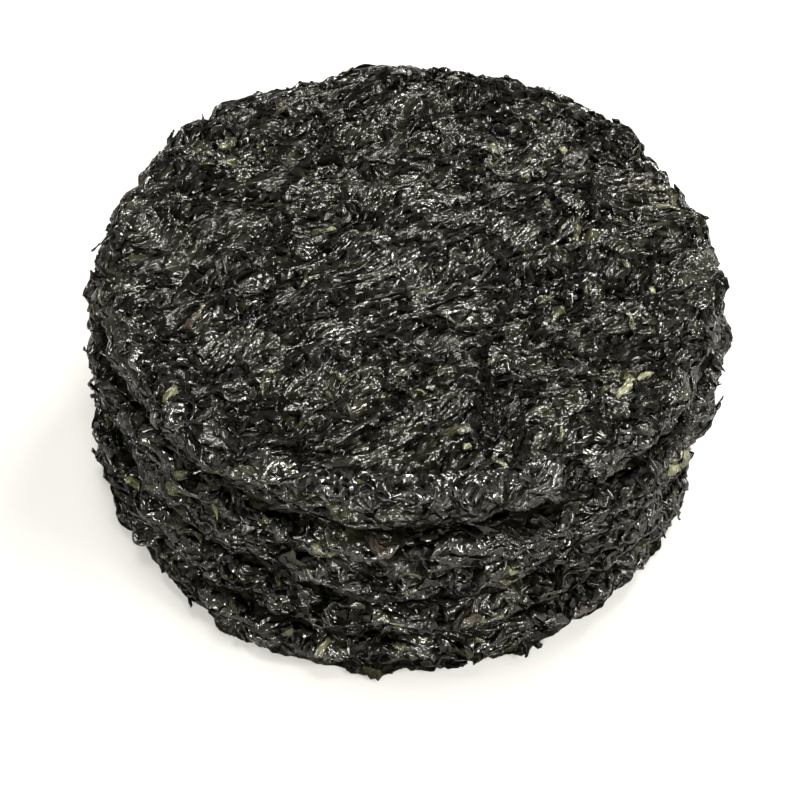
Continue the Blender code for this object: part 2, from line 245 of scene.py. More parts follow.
class Form:
    """The smooth form of one cake: its turned section and the swells of its rim and upper face."""

    def __init__(self, index):
        cake = CAKES[index]
        self.index = index
        self.name = cake["name"]
        self.seed = index + 1
        self.thickness = STACK_HEIGHT * cake["share"]
        self.half = 0.5 * (self.thickness - CAKE_GAP)
        self.radius = MEAN_RADIUS * cake["size"]
        self.flat = self.radius - ROLL_WIDTH
        self.lower_power = FOOT_POWER if index == 0 else ROLL_POWER
        base = STACK_HEIGHT * sum(c["share"] for c in CAKES[:index])
        middle = base + 0.5 * self.thickness + STACK_MOVE[2]
        across, back = cake["shift"]
        self.centre = np.array([across + STACK_MOVE[0], back + STACK_MOVE[1], middle])
        self.span = middle - self.half, middle + self.half
        self.turns = np.linspace(0.0, 2.0 * math.pi, 301)
        self.levels = np.linspace(-1.0, 1.0, 25)
        self.rim = self.rim_table()
        self.below = seam_wave(index, self.turns)
        self.above = seam_wave(index + 1, self.turns)
        self.grid = np.arange(-110.0, 110.1, 2.0)
        self.upper = self.face_table() if index == TOP else None
        self.measure_roll()

    def rim_table(self):
        """How far the rim stands out, for each level and turn."""
        table = np.zeros((len(self.levels), len(self.turns)))
        for i, level in enumerate(self.levels):
            z = level * self.half
            power = ROLL_POWER if level > 0.0 else self.lower_power
            out = max(1.0 - abs(level) ** (2.0 / power), 0.0) ** (0.5 * power)
            r = self.flat + ROLL_WIDTH * out
            for j, a in enumerate(self.turns[:-1]):
                x, y = r * math.cos(a), r * math.sin(a)
                k = OUTLINE_SWAY_TURNS
                sway = OUTLINE_SWAY * lump(k * math.cos(a), k * math.sin(a), 0.0, 1.0, self.seed)
                bulge = SIDE_LUMP[0] * lump(x, y, 2.0 * z, SIDE_LUMP[1], self.seed)
                crinkle = SIDE_RIDGE[0] * ridge(x, y, 1.6 * z, SIDE_RIDGE[1], self.seed)
                table[i, j] = sway + bulge + crinkle
        table[:, -1] = table[:, 0]
        return table

    def face_table(self):
        """Height of the upper face over its level plane, without its hollows, on a square grid."""
        c, s = math.cos(GRAIN_DIRECTION), math.sin(GRAIN_DIRECTION)
        table = np.zeros((len(self.grid), len(self.grid)))
        for i, x in enumerate(self.grid):
            for j, y in enumerate(self.grid):
                along, across = (x * c + y * s) / FACE_STRETCH, y * c - x * s
                bulge = FACE_LUMP[0] * lump(x, y, 0.0, FACE_LUMP[1], self.seed)
                fold = FACE_RIDGE[0] * ridge(along, across, 0.0, FACE_RIDGE[1], self.seed)
                table[i, j] = bulge + fold
        return table

    def measure_roll(self):
        """The rolled side as a curve: arc length, radius and height, and which way it faces."""
        angle = np.linspace(0.0, math.pi, 601)
        power = np.where(np.cos(angle) > 0.0, ROLL_POWER, self.lower_power)
        self.arc_r = self.flat + ROLL_WIDTH * np.maximum(np.sin(angle), 0.0) ** power
        self.arc_z = self.half * np.sign(np.cos(angle)) * np.abs(np.cos(angle)) ** power
        dr, dz = np.gradient(self.arc_r), np.gradient(self.arc_z)
        length = np.maximum(np.hypot(dr, dz), 1e-9)
        self.arc_out, self.arc_up = -dz / length, dr / length
        step = np.hypot(np.diff(self.arc_r), np.diff(self.arc_z))
        self.arc = np.concatenate([[0.0], np.cumsum(step)])
        self.arc_length = self.arc[-1]

    def place(self, r, turn, z):
        """Points of the turned section moved out to the smooth form, in the cake's own frame."""
        r, turn, z = (np.asarray(a, float) for a in (r, turn, z))
        turn = np.mod(turn, 2.0 * math.pi)
        level = np.clip(z / self.half, -1.0, 1.0)
        rolled = ramp(self.flat - 2.0, self.flat + 0.5 * ROLL_WIDTH, r)
        push = rolled * look_up(self.rim, self.levels, self.turns, level, turn)
        reach = np.minimum(r / MEAN_RADIUS, 1.0) ** 2
        lift = 0.5 * (1.0 - level) * np.interp(turn, self.turns, self.below) * reach
        lift += 0.5 * (1.0 + level) * np.interp(turn, self.turns, self.above) * reach
        x, y = r * np.cos(turn), r * np.sin(turn)
        if self.upper is not None:
            relief = look_up(self.upper, self.grid, self.grid, x, y) - hollow_depth(x, y)
            lift += relief * (1.0 - 0.4 * rolled) * ramp(0.0, 1.0, level)
        out = (r + push) / np.maximum(r, 1e-6)
        return stack(x * out, y * out, z + lift)

    def section(self, arc):
        """Radius and height of the section at an arc down the rolled side."""
        return np.interp(arc, self.arc, self.arc_r), np.interp(arc, self.arc, self.arc_z)

    def side_place(self, turn, arc, height):
        """World points of the rolled side, at a turn and an arc down it, a height off the form."""
        r, z = self.section(arc)
        out, up = np.interp(arc, self.arc, self.arc_out), np.interp(arc, self.arc, self.arc_up)
        spot = self.place(r, turn, z)
        out_by = out * height - undercut(self, z / self.half, r)
        spot[:, 0] += np.cos(turn) * out_by
        spot[:, 1] += np.sin(turn) * out_by
        spot[:, 2] += up * height
        return spot + self.centre

    def face_place(self, x, y, height):
        """World points over the upper face, at a place in the cake's own frame."""
        r, turn = np.hypot(x, y), np.arctan2(y, x)
        spot = self.place(r, turn, np.full_like(r, self.half))
        spot[:, 2] += height
        return spot + self.centre


def look_up(table, rows, columns, row, column):
    """Linear interpolation in a table over rising rows and columns."""
    i = np.clip(np.searchsorted(rows, row) - 1, 0, len(rows) - 2)
    j = np.clip(np.searchsorted(columns, column) - 1, 0, len(columns) - 2)
    u = np.clip((row - rows[i]) / (rows[i + 1] - rows[i]), 0.0, 1.0)
    v = np.clip((column - columns[j]) / (columns[j + 1] - columns[j]), 0.0, 1.0)
    near = table[i, j] * (1.0 - v) + table[i, j + 1] * v
    far = table[i + 1, j] * (1.0 - v) + table[i + 1, j + 1] * v
    return near * (1.0 - u) + far * u


# ---------------------------------------------------------------- crinkles
GRAIN_TURN = math.radians(30)
# Each kind of crinkle: its size along and across the grain, or along and down the rim, and its height.
FACE_BIG = (8.0, 3.6, 1.5)
FACE_MID = (3.4, 1.9, 0.85)
FACE_STRAND = (14.0, 2.1, 0.30)
FACE_PIT = (7.0, 3.8, 2.0)
RIM_BIG = (6.4, 3.0, 1.5)
RIM_MID = (3.1, 1.6, 0.8)
RIM_PIT_DEPTH = 2.0


def grain_face(x, y):
    """Coordinates along and across the grain of the upper face, in millimetres, swirled."""
    flat = stack(x, y, np.zeros_like(x))
    wx = 10.0 * swell(flat / 42.0, 31) + 3.5 * swell(flat / 15.0, 33)
    wy = 10.0 * swell(flat / 42.0, 32) + 3.5 * swell(flat / 15.0, 34)
    px, py = x + wx, y + wy
    c, s = math.cos(GRAIN_TURN), math.sin(GRAIN_TURN)
    return px * c + py * s, py * c - px * s


def grain_heading(x, y):
    """The direction of the grain of the upper face at points, in radians."""
    here = grain_face(x, y)[1]
    right = grain_face(x + 0.5, y)[1]
    back = grain_face(x, y + 0.5)[1]
    return np.arctan2(-(right - here), back - here)


def crumpled(x, y):
    """How crumpled the upper face is at points: 0 where it is smeared smooth, 1 where it is folds."""
    return ramp(-0.25, 0.30, swell(stack(x, y, np.zeros_like(x)) / 21.0, 41))


def crinkle_face(x, y):
    """Height of the crinkles of the upper face."""
    u, v = grain_face(x, y)
    zero = np.zeros_like(u)
    folds = crumpled(x, y)
    bend = 0.5 * swell(stack(x, y, zero) / 2.6, 46)
    big = facets(u / FACE_BIG[0] + bend, v / FACE_BIG[1] + 0.6 * bend, 42)
    mid = facets(u / FACE_MID[0] + bend, v / FACE_MID[1] - bend, 43)
    strand = crest(stack(u / FACE_STRAND[0], v / FACE_STRAND[1], zero), 44)
    pits = ramp(0.26, 0.55, swell(stack(u / FACE_PIT[0], v / FACE_PIT[1], zero), 45))
    height = FACE_BIG[2] * big * (0.6 + 0.4 * folds) + FACE_MID[2] * mid * (0.3 + 0.7 * folds)
    return height + FACE_STRAND[2] * strand * (1.0 - 0.6 * folds) - FACE_PIT[2] * pits


def crinkle_side(form, spot, turn, arc):
    """How far the crinkles of the rim stand out, at points of the form with their turn and arc."""
    p = spot + 40.0 * form.seed
    warp_a, warp_b = 2.4 * swell(p / 13.0, 51), 1.3 * swell(p / 10.0, 53)
    along, down = turn * form.radius + warp_a, arc + warp_b
    girth = 2.0 * math.pi * form.radius
    big_count, mid_count = round(girth / RIM_BIG[0]), round(girth / RIM_MID[0])
    bend = 0.5 * swell(p / 2.6, 56)
    big = facets(along * big_count / girth + bend, down / RIM_BIG[1], 54 + form.seed, big_count)
    mid = facets(along * mid_count / girth, down / RIM_MID[1] + bend, 61 + form.seed, mid_count)
    pits = ramp(0.26, 0.56, swell(p * np.array([0.15, 0.15, 0.30]), 57))
    return RIM_BIG[2] * big + RIM_MID[2] * mid - RIM_PIT_DEPTH * pits


def undercut(form, level, r):
    """How far the rim draws in below its middle, and less above it, so that the seams are open."""
    low = UNDERCUT * ramp(0.05, 0.95, -level) if form.index else 0.0
    high = 0.55 * UNDERCUT * ramp(0.55, 1.0, level) * (form.index < TOP)
    return (low + high) * ramp(form.flat - 4.0, form.flat, r)


# ---------------------------------------------------------------- meshes
def write_mesh(name, verts, tris):
    """A mesh object from arrays of points in millimetres and of triangles."""
    mesh = bpy.data.meshes.new(name)
    mesh.vertices.add(len(verts))
    mesh.vertices.foreach_set("co", (np.asarray(verts, np.float32) * MM).ravel())
    mesh.loops.add(3 * len(tris))
    mesh.loops.foreach_set("vertex_index", np.asarray(tris, np.int32).ravel())
    mesh.polygons.add(len(tris))
    mesh.polygons.foreach_set("loop_start", np.arange(0, 3 * len(tris), 3, dtype=np.int32))
    mesh.polygons.foreach_set("loop_total", np.full(len(tris), 3, np.int32))
    mesh.update(calc_edges=True)
    mesh.polygons.foreach_set("use_smooth", np.ones(len(tris), bool))
    obj = bpy.data.objects.new(name, mesh)
    bpy.context.scene.collection.objects.link(obj)
    return obj


def add_attribute(obj, name, values):
    """One number or one vector for each point of a mesh."""
    values = np.asarray(values, np.float32)
    kind, key = ("FLOAT", "value") if values.ndim == 1 else ("FLOAT_VECTOR", "vector")
    layer = obj.data.attributes.new(name, kind, "POINT")
    layer.data.foreach_set(key, values.ravel())


def ring_strips(counts):
    """Triangles between neighbouring rings, of which one may have twice as many points."""
    starts = np.concatenate([[0], np.cumsum(counts)])
    tris = []
    for n, m, i0, o0 in zip(counts, counts[1:], starts, starts[1:]):
        k = np.arange(min(n, m))
        k2 = (k + 1) % min(n, m)
        if n == m:
            patch = [(i0 + k, o0 + k, o0 + k2), (i0 + k, o0 + k2, i0 + k2)]
        elif m == 2 * n:
            mid = o0 + 2 * k + 1
            patch = [(i0 + k, o0 + 2 * k, mid), (i0 + k, mid, i0 + k2)]
            patch.append((i0 + k2, mid, o0 + (2 * k + 2) % m))
        else:
            mid = i0 + 2 * k + 1
            patch = [(i0 + 2 * k, o0 + k, mid), (mid, o0 + k, o0 + k2)]
            patch.append((mid, o0 + k2, i0 + (2 * k + 2) % n))
        tris += [stack(*corners) for corners in patch]
    return np.concatenate(tris)


def section_rows(form):
    """Radius, height, arc and columns of each ring of a mat, from the axis above to the axis below."""
    rows = []
    if form.index == TOP:
        r = 1.6
        while r < form.flat - 0.5 * FACE_STEP:
            count = FIRST_COLUMNS
            while 2.0 * math.pi * r / count > 1.25 * FACE_STEP and 2 * count <= COLUMNS:
                count *= 2
            rows.append((r, form.half, r - form.flat, count))
            r += FACE_STEP
    else:
        inner = ((30.0, COLUMNS // 8), (60.0, COLUMNS // 4), (form.flat - 8.0, COLUMNS // 2))
        rows += [(q, form.half, q - form.flat, n) for q, n in inner]
        rows += [(form.flat - q, form.half, -q, COLUMNS) for q in (5.0, 4.0, 3.0, 2.2, 1.4, 0.7)]
    steps = int(round(form.arc_length / SIDE_STEP))
    for arc in np.linspace(0.0, form.arc_length, steps + 1):
        r, z = form.section(arc)
        rows.append((float(r), float(z), float(arc), COLUMNS))
    end = form.arc_length
    under = ((form.flat - 3.0, 3.0, COLUMNS // 2), (form.flat - 8.0, 8.0, COLUMNS // 4))
    under += ((60.0, 30.0, COLUMNS // 8), (30.0, 60.0, COLUMNS // 16))
    rows += [(q, -form.half, end + past, n) for q, past, n in under]
    return rows


def mat(form):
    """The fine crinkled mat of one cake."""
    rows = section_rows(form)
    counts = [row[3] for row in rows]
    r, z, arc = (np.concatenate([np.full(row[3], row[k]) for row in rows]) for k in range(3))
    turn = np.concatenate([np.arange(c) * (2.0 * math.pi / c) for c in counts])
    spot = form.place(r, turn, z)

    level = np.clip(z / form.half, -1.0, 1.0)
    lean = np.sign(level) * np.abs(level) ** 3
    rolled = ramp(form.flat - 0.5, form.flat + 0.35 * ROLL_WIDTH, r)
    normal = stack(np.cos(turn), np.sin(turn), np.zeros_like(turn)) * rolled[:, None]
    normal[:, 2] += lean * (1.0 - 0.75 * rolled)
    normal /= np.maximum(np.linalg.norm(normal, axis=1, keepdims=True), 1e-6)

    rim = crinkle_side(form, spot, turn, arc)
    hidden = ramp(form.flat - 3.0, form.flat + 1.5, r)
    if form.index == TOP:
        face = crinkle_face(spot[:, 0], spot[:, 1])
        on_face = (z > 0.0) * (1.0 - ramp(form.flat - 2.0, form.flat + 0.45 * ROLL_WIDTH, r))
        height = face * on_face + rim * (1.0 - on_face) * np.where(z > 0.0, 1.0, hidden)
    else:
        height = rim * hidden
    if form.index == 0:
        height *= np.where(z < 0.0, ramp(-1.0, -0.75, level), 1.0)
    spot = spot + normal * height[:, None]
    spot[:, :2] *= (1.0 - undercut(form, level, r) / np.maximum(r, 1.0))[:, None]
    if form.index == 0:
        spot[:, 2] = np.maximum(spot[:, 2], -form.half)

    verts = np.concatenate([spot, [[0.0, 0.0, form.half], [0.0, 0.0, -form.half]]])
    tris = ring_strips(counts)
    last, n = len(spot) - counts[-1], len(spot)
    k = np.arange(counts[0])
    cap = stack(np.full(counts[0], n), k, (k + 1) % counts[0])
    k = np.arange(counts[-1])
    foot = stack(np.full(counts[-1], n + 1), last + (k + 1) % counts[-1], last + k)
    tris = np.concatenate([tris, cap, foot])
    if form.index == TOP:
        verts[n, 2] = spot[: counts[0], 2].mean()

    obj = write_mesh(form.name.replace("laver_cake", "laver_mat"), verts + form.centre, tris)
    u, v = grain_face(verts[:, 0], verts[:, 1])
    add_attribute(obj, "grain_face", stack(u / GRAIN_STRETCH, v, np.zeros_like(u)))
    wave = 1.5 * swell((verts + form.centre) / 12.0, 61)
    side = verts / np.array([GRAIN_STRETCH, GRAIN_STRETCH, 1.0])
    side[:, 2] = side[:, 2] + form.centre[2] + wave
    add_attribute(obj, "grain_side", side)
    # Painted shade: below the middle of each rim, on the shoulder under the cake above, and in the
    # hollows of the upper face.
    seam = ramp(-0.12, 0.38, -level)
    if form.index == TOP:
        seam += ramp(0.9, 3.0, hollow_depth(spot[:, 0], spot[:, 1])) * ramp(0.9, 1.0, level)
    else:
        seam += ramp(0.66, 0.94, level) * ramp(form.flat - 1.0, form.flat + 1.0, r)
    add_attribute(obj, "seam_shade", np.concatenate([np.clip(seam, 0.0, 1.0), [0.0, 1.0]]))
    radius = np.concatenate([r, [0.0, 0.0]])
    high = np.concatenate([z, [form.half, -form.half]])
    face_point = (radius < form.flat + 0.2 * ROLL_WIDTH) & (high > 0.0)
    is_face = face_point[tris].all(axis=1)
    obj.data.materials.append(laver_material("laver_side", "grain_side", MAT_COLOURS))
    obj.data.materials.append(laver_material("laver_face", "grain_face", MAT_COLOURS))
    obj.data.polygons.foreach_set("material_index", is_face.astype(np.int32))
    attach(obj, "root")
    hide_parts(form.name)


# ---------------------------------------------------------------- fronds and flakes
class Strips:
    """Many thin strips of frond at once, each a grid of rows along it and columns across it.

    Places are two lengths along a surface, and heights are above it. A style says how far the strips
    bend and wiggle in the surface, taper, fray at the edges, spin and twist about their length, arch
    and crumple across it, lie above the surface, sink at both ends, hover, and stand free at one end.
    """

    def __init__(self, rng, a, b, heading, length, width, rows, cols, style):
        n = len(a)
        t = np.linspace(0.0, 1.0, rows + 1)[None, :]
        s = np.linspace(-1.0, 1.0, cols + 1)[None, None, :]
        ends = (2.0 * t - 1.0) ** 2
        length, width = length[:, None], width[:, None]

        def wander(size, turns):
            """A smooth random swing along each strip."""
            start, rate = rng.uniform(0, 2 * math.pi, (n, 1)), rng.uniform(0.6, 1.3, (n, 1)) * turns
            return size * np.sin(start + 2.0 * math.pi * rate * t)

        bend = rng.normal(0.0, style["bend"], (n, 1)) * (t - 0.5) + wander(style["wiggle"], 1.1)
        heading = heading[:, None] + bend
        step = length / rows
        da, db = np.cos(heading) * step, np.sin(heading) * step
        ca, cb = np.cumsum(da, axis=1) - da, np.cumsum(db, axis=1) - db
        self.ca = a[:, None] + ca - ca.mean(axis=1, keepdims=True)
        self.cb = b[:, None] + cb - cb.mean(axis=1, keepdims=True)

        girth = 0.5 * width * (1.0 - style["taper"] * ends)
        jag = style["jag"]
        left = girth * (1.0 + jag * rng.uniform(-1.0, 0.7, (n, rows + 1)))
        right = girth * (1.0 + jag * rng.uniform(-1.0, 0.7, (n, rows + 1)))
        across = np.where(s < 0.0, s * left[:, :, None], s * right[:, :, None])
        spin = rng.normal(0.0, style["spin"], (n, 1)) + wander(style["twist"], 0.8)
        spin = spin[:, :, None]
        crown = (1.0 - s * s) * (style["arch"] * girth[:, :, None] + 0.04)
        ruffle = np.abs(rng.normal(0.0, style["crumple"], (n, rows + 1, cols + 1)))
        bulge = crown + ruffle * np.sqrt(1.0 - s * s)
        side_a, side_b = -np.sin(heading)[:, :, None], np.cos(heading)[:, :, None]
        shift = across * np.cos(spin) - bulge * np.sin(spin)
        self.a = self.ca[:, :, None] + side_a * shift
        self.b = self.cb[:, :, None] + side_b * shift
        self.rise = across * np.sin(spin) + bulge * np.cos(spin)
        lift = style["lay"] - style["sink"] * ends + rng.normal(0.0, style["hover"], (n, 1))
        free = rng.uniform(0.0, style["free"], (n, 1))
        free = free * np.where(rng.random((n, 1)) < 0.5, t, 1.0 - t) ** 2
        self.rise = self.rise + (lift + free)[:, :, None]
        self.along = np.broadcast_to((t * length)[:, :, None], self.a.shape)
        self.across = np.broadcast_to(across, self.a.shape)
        self.count, self.rows, self.cols = n, rows, cols

    def drape(self, ground):
        """Lifts each row of points by most of the ground under its middle, smoothed along the strip."""
        ground = 0.6 * np.maximum(ground, -0.9)
        soft = np.concatenate([ground[:, :1], ground, ground[:, -1:]], axis=1)
        soft = (soft[:, :-2] + 2.0 * soft[:, 1:-1] + soft[:, 2:]) / 4.0
        self.rise = self.rise + soft[:, :, None]

    def triangles(self):
        """Upper sheet, flat underside and two end caps of every strip, which together are closed."""
        rows, cols = self.rows, self.cols
        at = np.arange((rows + 1) * (cols + 1)).reshape(rows + 1, cols + 1)
        quads = []
        for i in range(rows):
            quads += [(at[i, j], at[i + 1, j], at[i + 1, j + 1], at[i, j + 1]) for j in range(cols)]
        quads += [(at[i, 0], at[i, cols], at[i + 1, cols], at[i + 1, 0]) for i in range(rows)]
        tris = [t for q in quads for t in ((q[0], q[1], q[2]), (q[0], q[2], q[3]))]
        tris += [(at[0, 0], at[0, j], at[0, j + 1]) for j in range(1, cols)]
        tris += [(at[rows, 0], at[rows, j + 1], at[rows, j]) for j in range(1, cols)]
        one = np.array(tris)
        starts = np.arange(self.count) * (rows + 1) * (cols + 1)
        return (starts[:, None, None] + one[None, :, :]).reshape(-1, 3)


def gather(name, parts, material):
    """One piece from parts, each of them strips, their world points, their tints, and the cake whose
    side they lie on, or None on the upper face."""
    verts, tris, grain, shade, seam, start = [], [], [], [], [], 0
    for strips, points, tint, form in parts:
        verts.append(points)
        tris.append(strips.triangles() + start)
        start += len(points)
        who = np.broadcast_to(np.arange(strips.count)[:, None, None], strips.a.shape)
        along = strips.along.ravel() / GRAIN_STRETCH
        grain.append(stack(along, strips.across.ravel(), 5.3 * who.ravel()))
        shade.append(np.broadcast_to(tint[:, None, None], strips.a.shape).ravel())
        # Painted shade on strips low on a rim, and on the upper shoulder of each lower cake under the
        # overhang.
        if form:
            down = strips.b.ravel() / form.arc_length
            seam.append(ramp(0.38, 0.60, down) + ramp(0.24, 0.12, down) * (form.index < TOP))
        else:
            seam.append(np.zeros(len(points)))
    points = np.concatenate(verts)
    points[:, 2] = np.maximum(points[:, 2], LEAST_HEIGHT)
    obj = write_mesh(name, points, np.concatenate(tris))
    add_attribute(obj, "grain_strip", np.concatenate(grain))
    add_attribute(obj, "tint", np.concatenate(shade))
    add_attribute(obj, "seam_shade", np.concatenate(seam))
    obj.data.materials.append(material)
    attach(obj, "root")


STYLE_KEYS = ("bend", "wiggle", "taper", "jag", "spin", "twist",
              "arch", "crumple", "lay", "sink", "hover", "free")


def styled(*values):
    """A style from its values, in the order of the keys."""
    return dict(zip(STYLE_KEYS, values))


RIBBON = styled(0.50, 0.16, 0.72, 0.30, 0.26, 0.34, 0.34, 0.16, 0.35, 1.00, 0.22, 0.50)
FLAKE = styled(1.00, 0.20, 0.45, 0.42, 0.40, 0.25, 0.22, 0.34, 0.30, 0.45, 0.30, 1.00)
STREAK = styled(0.20, 0.10, 0.80, 0.25, 0.20, 0.25, 0.50, 0.08, 0.75, 1.00, 0.20, 0.30)
LIP = styled(0.90, 0.45, 0.55, 0.18, 0.15, 0.30, 0.95, 0.10, 0.75, 1.10, 0.25, 0.40)
TUFT = styled(1.20, 0.35, 0.75, 0.40, 0.80, 0.50, 0.25, 0.30, 0.30, 0.90, 0.30, 4.60)
FRINGE = styled(1.00, 0.30, 0.55, 0.45, 0.75, 0.45, 0.22, 0.34, 0.45, 0.80, 0.40, 2.60)
BIT = styled(0.70, 0.25, 0.45, 0.42, 0.22, 0.25, 0.30, 0.28, 1.15, 1.10, 0.10, 0.50)


def over_rim(form, strips):
    """World points of strips on the upper face, bent down over the rim where they run past it."""
    x, y, rise = strips.a.ravel(), strips.b.ravel(), strips.rise.ravel()
    r, turn = np.hypot(x, y), np.arctan2(y, x)
    keep = np.minimum(1.0, form.flat / r)
    inner = form.face_place(x * keep, y * keep, rise)
    outer = form.side_place(turn, np.maximum(r - form.flat, 0.0), rise)
    return np.where((r > form.flat)[:, None], outer, inner)


def on_face(form, strips):
    """World points of strips laid on the upper face."""
    shape = strips.ca.shape
    ground = crinkle_face(strips.ca.ravel(), strips.cb.ravel()).reshape(shape)
    strips.drape(ground)
    return over_rim(form, strips)


def on_side(form, strips):
    """World points of strips laid on the rolled side, which are given by the turn and the arc."""
    turn, arc = strips.ca.ravel() / form.radius, strips.cb.ravel()
    r, z = form.section(arc)
    ground = crinkle_side(form, form.place(r, turn, z), np.mod(turn, 2 * math.pi), arc)
    strips.drape(ground.reshape(strips.ca.shape))
    return form.side_place(strips.a.ravel() / form.radius, strips.b.ravel(), strips.rise.ravel())


def tints(rng, n):
    """Shade of each strip: mostly black, some olive or brown, a few pale."""
    return np.where(rng.random(n) < PALE_SHARE, rng.uniform(0.08, 0.34, n), rng.uniform(-0.30, 0.06, n))


def face_fronds(form, rng):
    """Ribbons along the grain, crumpled flakes, and a band of long streaks, over the upper face."""
    def spread(n, smooth_share):
        """Places clear of the hollows, fewer of them where the face is smooth."""
        r = (form.flat + 2.0) * np.sqrt(rng.random(3 * n))
        turn = rng.uniform(0, 2 * math.pi, 3 * n)
        x, y = r * np.cos(turn), r * np.sin(turn)
        wanted = rng.random(3 * n) < smooth_share + (1.0 - smooth_share) * crumpled(x, y)
        wanted &= hollow_depth(x, y) < 0.8
        return x[wanted][:n], y[wanted][:n]

    parts = []
    x, y = spread(FACE_RIBBONS, 1.0)
    n = len(x)
    heading = grain_heading(x, y) + rng.normal(0.0, 0.22, n)
    size = rng.uniform(10, 26, n), rng.uniform(1.6, 4.2, n)
    ribbons = Strips(rng, x, y, heading, *size, 12, 3, RIBBON)
    parts.append((ribbons, on_face(form, ribbons), tints(rng, n), None))
    x, y = spread(FACE_FLAKES, 0.15)
    n = len(x)
    heading = grain_heading(x, y) + rng.normal(0.0, 0.8, n)
    size = rng.uniform(3.5, 9, n), rng.uniform(2.2, 5.0, n)
    flakes = Strips(rng, x, y, heading, *size, 5, 4, FLAKE)
    parts.append((flakes, on_face(form, flakes), tints(rng, n), None))
    reach, turn = np.sqrt(rng.random(FACE_STREAKS)), rng.uniform(0, 2 * math.pi, FACE_STREAKS)
    u, v = BAND_REACH[0] * reach * np.cos(turn), BAND_REACH[1] * reach * np.sin(turn)
    c, s = math.cos(GRAIN_TURN), math.sin(GRAIN_TURN)
    x, y = BAND_CENTRE[0] + u * c - v * s, BAND_CENTRE[1] + u * s + v * c
    open_face = hollow_depth(x, y) < 0.6
    x, y = x[open_face], y[open_face]
    n = len(x)
    heading = 0.5 * (grain_heading(x, y) + GRAIN_TURN) + rng.normal(0.0, 0.10, n)
    size = rng.uniform(14, 32, n), rng.uniform(1.5, 3.3, n)
    streaks = Strips(rng, x, y, heading, *size, 12, 3, STREAK)
    gather("laver_face_fronds", parts, strip_material())
    streaks = (streaks, on_face(form, streaks), tints(rng, n), None)
    gather("laver_face_streaks", [streaks], satin_material("laver_satin", STREAK_IOR))


def side_fronds(form, rng):
    """Ribbons along the rim, then crumpled flakes, over the side of one cake."""
    girth = 2.0 * math.pi * form.radius
    start = 0.03 if form.index == TOP else 0.16
    parts = []
    n = SIDE_RIBBONS
    a, b = rng.uniform(0, girth, n), form.arc_length * rng.uniform(start, 0.57, n)
    heading = rng.normal(0.0, 0.13, n)
    size = rng.uniform(8, 22, n), rng.uniform(1.1, 3.0, n)
    ribbons = Strips(rng, a, b, heading, *size, 10, 3, RIBBON)
    parts.append((ribbons, on_side(form, ribbons), tints(rng, n), form))
    n = SIDE_FLAKES
    low = np.where(rng.random(n) < 0.90, 0.58, 0.94)
    a, b = rng.uniform(0, girth, n), form.arc_length * (start + (low - start) * rng.random(n))
    heading = rng.normal(0.0, 0.40, n)
    size = rng.uniform(4, 11, n), rng.uniform(1.2, 3.0, n)
    flakes = Strips(rng, a, b, heading, *size, 5, 4, FLAKE)
    parts.append((flakes, on_side(form, flakes), tints(rng, n), form))
    gather(form.name.replace("cake", "side_fronds"), parts, strip_material())


def along_girth(form, bearings):
    """Places along the girth of a cake, in millimetres, at bearings in degrees."""
    return np.mod(np.radians(bearings), 2.0 * math.pi) * form.radius


def arc_at(form, height):
    """The arc down the side of a cake at a height over the plate."""
    return np.interp(form.centre[2] - np.asarray(height, float), -form.arc_z, form.arc)


def lip_fronds(form, rng):
    """Narrow glossy folds bunched along the front of the uppermost rim, and a few all round it."""
    n = LIP_FOLDS
    in_front = rng.random(n) < LIP_FRONT_SHARE
    bearing = np.where(in_front, rng.normal(*LIP_BEARING, n), rng.uniform(-180.0, 180.0, n))
    b = rng.uniform(0.3, 5.5, n)
    heading = rng.normal(0.0, 0.45, n)
    size = rng.uniform(5, 14, n), rng.uniform(1.1, 2.3, n)
    folds = Strips(rng, along_girth(form, bearing), b, heading, *size, 12, 3, LIP)
    folds = (folds, on_side(form, folds), tints(rng, n), form)
    gather("laver_lip_fronds", [folds], satin_material("laver_lip", LIP_IOR))


# Where tufts stand out furthest: bearing, height over the plate, and how many fronds.
TUFTS = (
    (190, 62, 9), (198, 36, 6), (-20, 76, 6), (-17, 52, 6), (-27, 13, 6), (214, 9, 5), (229, 6, 5),
    (-65, 5, 5), (141, 77, 5), (62, 77, 4), (28, 75, 4), (-41, 60, 4), (205, 57, 4),
)


def rim_tufts(forms, rng):
    """Tufts that stand out of the rims, and ragged flakes all round them."""
    parts = []
    for form in forms:
        low, high = form.span
        here = [t for t in TUFTS if low - 0.5 * CAKE_GAP <= t[1] < high + 0.5 * CAKE_GAP]
        if here:
            bearing = np.concatenate([rng.normal(t[0], 2.2, t[2]) for t in here])
            height = np.concatenate([rng.normal(t[1], 1.6, t[2]) for t in here])
            n = len(bearing)
            b = np.clip(arc_at(form, height), 0.5, 0.85 * form.arc_length)
            size = rng.uniform(5, 10, n), rng.uniform(1.2, 3.4, n)
            heading = rng.uniform(0, 2 * math.pi, n)
            tufts = Strips(rng, along_girth(form, bearing), b, heading, *size, 8, 3, TUFT)
            parts.append((tufts, on_side(form, tufts), tints(rng, n), form))
        n = FRINGE_FLAKES
        bearing, b = rng.uniform(-180, 180, n), form.arc_length * rng.uniform(0.20, 0.52, n)
        size = rng.uniform(3, 7.5, n), rng.uniform(1.4, 3.2, n)
        heading = rng.normal(0.0, 0.7, n)
        fringe = Strips(rng, along_girth(form, bearing), b, heading, *size, 5, 4, FRINGE)
        parts.append((fringe, on_side(form, fringe), tints(rng, n), form))
    gather("laver_rim_tufts", parts, strip_material())


